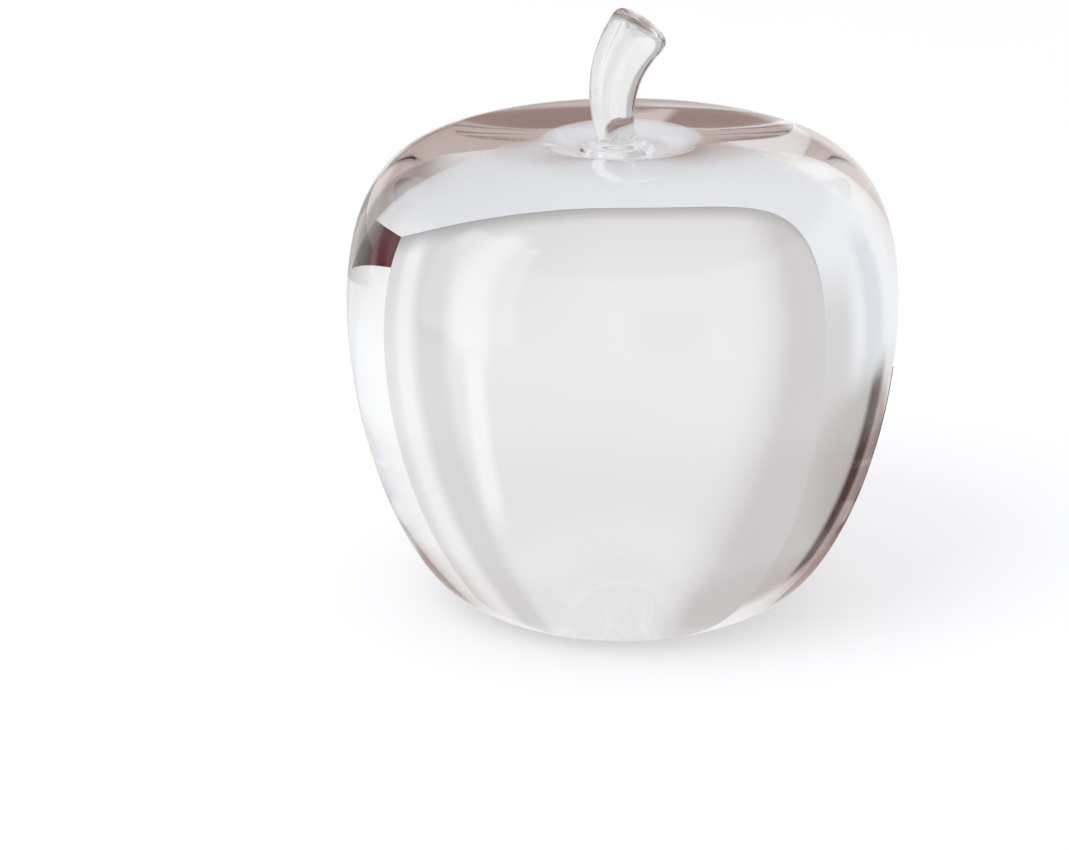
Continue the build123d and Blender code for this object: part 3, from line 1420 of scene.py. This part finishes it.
@dataclass
class Wall:
    """A pale curved wall close to the object, with painted fold shading and a painted shadow and dark
    line at its foot.

    It is turned round the object from straight behind it, in degrees. Its arms are the curves that its
    foot follows. They, the painted fold shading and the painted contact shadow are given in
    millimetres.
    """

    name: str
    turned: float
    sight: Sight = Sight.THROUGH
    arms: tuple[tuple[Span, Span, Span, Span], ...] = (
        ((-60.0, 149.0), (-18.0, 90.0), (-5.0, 82.0), (0.0, 79.5)),
        ((0.0, 79.5), (3.0, 91.0), (22.0, 104.0), (47.0, 100.0)),
    )
    steps: int = 25
    height: float = 70.0 * MM
    # The wall's tone at the floor and higher up: darker towards the bottom, a painted shade.
    tones: tuple[Colour, Colour] = ((0.765, 0.75, 0.75), (0.845, 0.845, 0.86))
    shade_rise: Span = (0.0, 45.0 * MM)
    # Painted shade towards the wall's end at negative X.
    side: Colour = (0.61, 0.585, 0.59)
    side_shade_edge: Span = (-2.0 * MM, -10.0 * MM)
    # Painted fold shading on the flat wall, lighter and darker bands: from, to and softness across it,
    # in millimetres, and tone.
    fold_shading: tuple[tuple[float, float, float, Colour], ...] = (
        (15.0, 26.0, 5.0, (0.70, 0.69, 0.70)),
        (29.0, 37.5, 4.5, (0.93, 0.92, 0.93)),
        (41.0, 90.0, 4.0, (0.78, 0.77, 0.77)),
    )
    # Painted contact shadow and a dark line along the foot: the level in millimetres below which each
    # darkens the wall, and its tone.
    foot: tuple[tuple[float, Colour], ...] = ((12.0, (0.47, 0.455, 0.46)), (1.0, (0.33, 0.31, 0.31)))

    def build(self) -> None:
        """Make the wall."""
        to_side = Matrix.Rotation(math.radians(self.turned), 3, "Z")
        arms = [[to_side @ Vector((*place, 0.0)) * MM for place in arm] for arm in self.arms]
        line = joined(*(interpolate_bezier(*arm, self.steps) for arm in arms))
        wall, wiring = add_stage(self.name, standing(line, [self.height] * len(line)))
        place = wiring.here()
        across = wiring.vector("DOT_PRODUCT", place, to_side @ Vector((1.0, 0.0, 0.0)))
        level = wiring.part(place, "Z")
        # Painted shade, darker towards the bottom.
        colour = wiring.blend(wiring.ramp(level, *self.shade_rise), *self.tones)
        # Painted shade towards one end of the wall.
        colour = wiring.blend(wiring.ramp(across, *self.side_shade_edge), colour, self.side)
        # Painted fold shading.
        for low, high, soft, tone in self.fold_shading:
            colour = wiring.blend(wiring.band(across, low * MM, high * MM, soft * MM), colour, tone)
        # Painted contact shadow and dark line along the foot.
        for top, tone in self.foot:
            colour = wiring.blend(wiring.ramp(level, top * MM, 0.0), colour, tone)
        add_glow(wall, wiring, colour, self.sight)


WALLS = (
    Wall("wall_behind", 0.0, Sight.ALL),
    Wall("wall_left", 90.0),
    Wall("wall_before", 180.0),
    Wall("wall_right", 270.0),
)


@dataclass
class PaintedStripReflection:
    """Painted reflection of a strip lamp's foot at the left front: a soft glowing bar on the floor,
    only mirrored.
    """

    start: Place = (-36.0 * MM, -44.0 * MM, 0.4 * MM)
    end: Place = (-290.0 * MM, -182.0 * MM, 0.4 * MM)
    widths: Span = (6.0 * MM, 38.0 * MM)
    soft: Span = (1.0, 0.2)
    near_fade: float = 25.0 * MM
    far_fade: float = 0.8
    strength: float = 3.2

    def build(self) -> None:
        """Make the bar."""
        reach = Vector(self.end) - Vector(self.start)
        length = reach.length
        near, far = self.widths
        bm = bmesh.new()
        corners = ((0.0, near), (0.0, -near), (length, -far), (length, far))
        bm.faces.new([bm.verts.new((*corner, 0.0)) for corner in corners])
        strip, wiring = add_stage("painted_strip_reflection", bm)
        strip.location = self.start
        strip.rotation_euler = (0.0, 0.0, math.atan2(reach.y, reach.x))
        place = wiring.here()
        along = wiring.part(place, "X")
        width = wiring.math("ADD", wiring.math("MULTIPLY", along, (far - near) / length), near)
        aside = wiring.math("DIVIDE", wiring.math("ABSOLUTE", wiring.part(place, "Y")), width)
        share = wiring.ramp(aside, *self.soft)
        for begin, full in ((0.0, self.near_fade), (length, self.far_fade * length)):
            share = wiring.math("MULTIPLY", share, wiring.ramp(along, begin, full))
        # A painted reflection: the bar glows, but only the glass's outside mirrors it.
        wiring.show(wiring.mix(share, wiring.clear(), wiring.glow(WHITE, self.strength)))
        keep_in_glass(strip, Sight.MIRRORED)


@dataclass
class Studio:
    """A white sweep with a soft lamp, and a pale room with cards that only the glass shows.

    Light that was mirrored several times inside the glass finds the room dim and warm: this sets the
    dimple and the shoulders off against the white.
    """

    lamp_size: float = 0.7
    lamp_power: float = 6.0
    lamp_place: Place = (-0.5, -0.5, 0.9)
    lamp_target: Place = (0.0, 0.0, 0.05)

    def build(self) -> None:
        """Make the world, the floor, the walls, the cards, the painted strip reflection and the lamp.
        """
        self.build_world()
        for thing in (Floor(), *WALLS, *CARDS, PaintedStripReflection()):
            thing.build()
        self.build_lamp()

    def build_world(self) -> None:
        """Make the world: white for the camera, and a pale room for the glass."""
        world = bpy.data.worlds.new("studio")
        world.use_nodes = True
        bpy.context.scene.world = world
        wiring = Wiring(world.node_tree)
        toward = wiring.add("TexCoord").outputs["Generated"]
        colour = wiring.blend(in_glass(wiring), WHITE, room_colour(wiring, toward, PALE_ROOM, ROOM))
        background = wiring.fill(wiring.add("Background"), Color=colour, Strength=1.0)
        wiring.fill(wiring.add("OutputWorld"), Surface=background.outputs["Background"])

    def build_lamp(self) -> None:
        """Make the square soft lamp, high on the left front, for the floor and the object."""
        light = bpy.data.lights.new("soft_lamp", "AREA")
        light.size = self.lamp_size
        light.energy = self.lamp_power
        lamp = bpy.data.objects.new("soft_lamp", light)
        lamp.location = self.lamp_place
        lamp.rotation_mode = "QUATERNION"
        look = Vector(self.lamp_target) - Vector(self.lamp_place)
        lamp.rotation_quaternion = look.to_track_quat("-Z", "Y")
        bpy.context.scene.collection.objects.link(lamp)
        lamp.visible_glossy = False
        lamp.visible_transmission = False


def main() -> None:
    """Build the pieces, the camera and the studio, in that order."""
    logging.basicConfig(level=logging.INFO, format="%(name)s: %(message)s")
    pieces = (
        AppleBody("apple_body", Slot.BODY, CRYSTAL),
        FootBond("foot_bond", Slot.BOND, ADHESIVE),
        StemFoot("stem_foot", Slot.STEM, FOOT_GLASS),
        RodBond("rod_bond", Slot.BOND, ADHESIVE),
        StemRod("stem_rod", Slot.STEM, STEM_GLASS),
    )
    for piece in pieces:
        piece.build()
    PictureCamera().build()
    Studio().build()
    scene = bpy.context.scene
    scene.view_settings.view_transform = "Standard"
    scene.cycles.max_bounces = 32
    scene.cycles.transmission_bounces = 32
    scene.cycles.glossy_bounces = 12


if __name__ == "__main__":
    main()
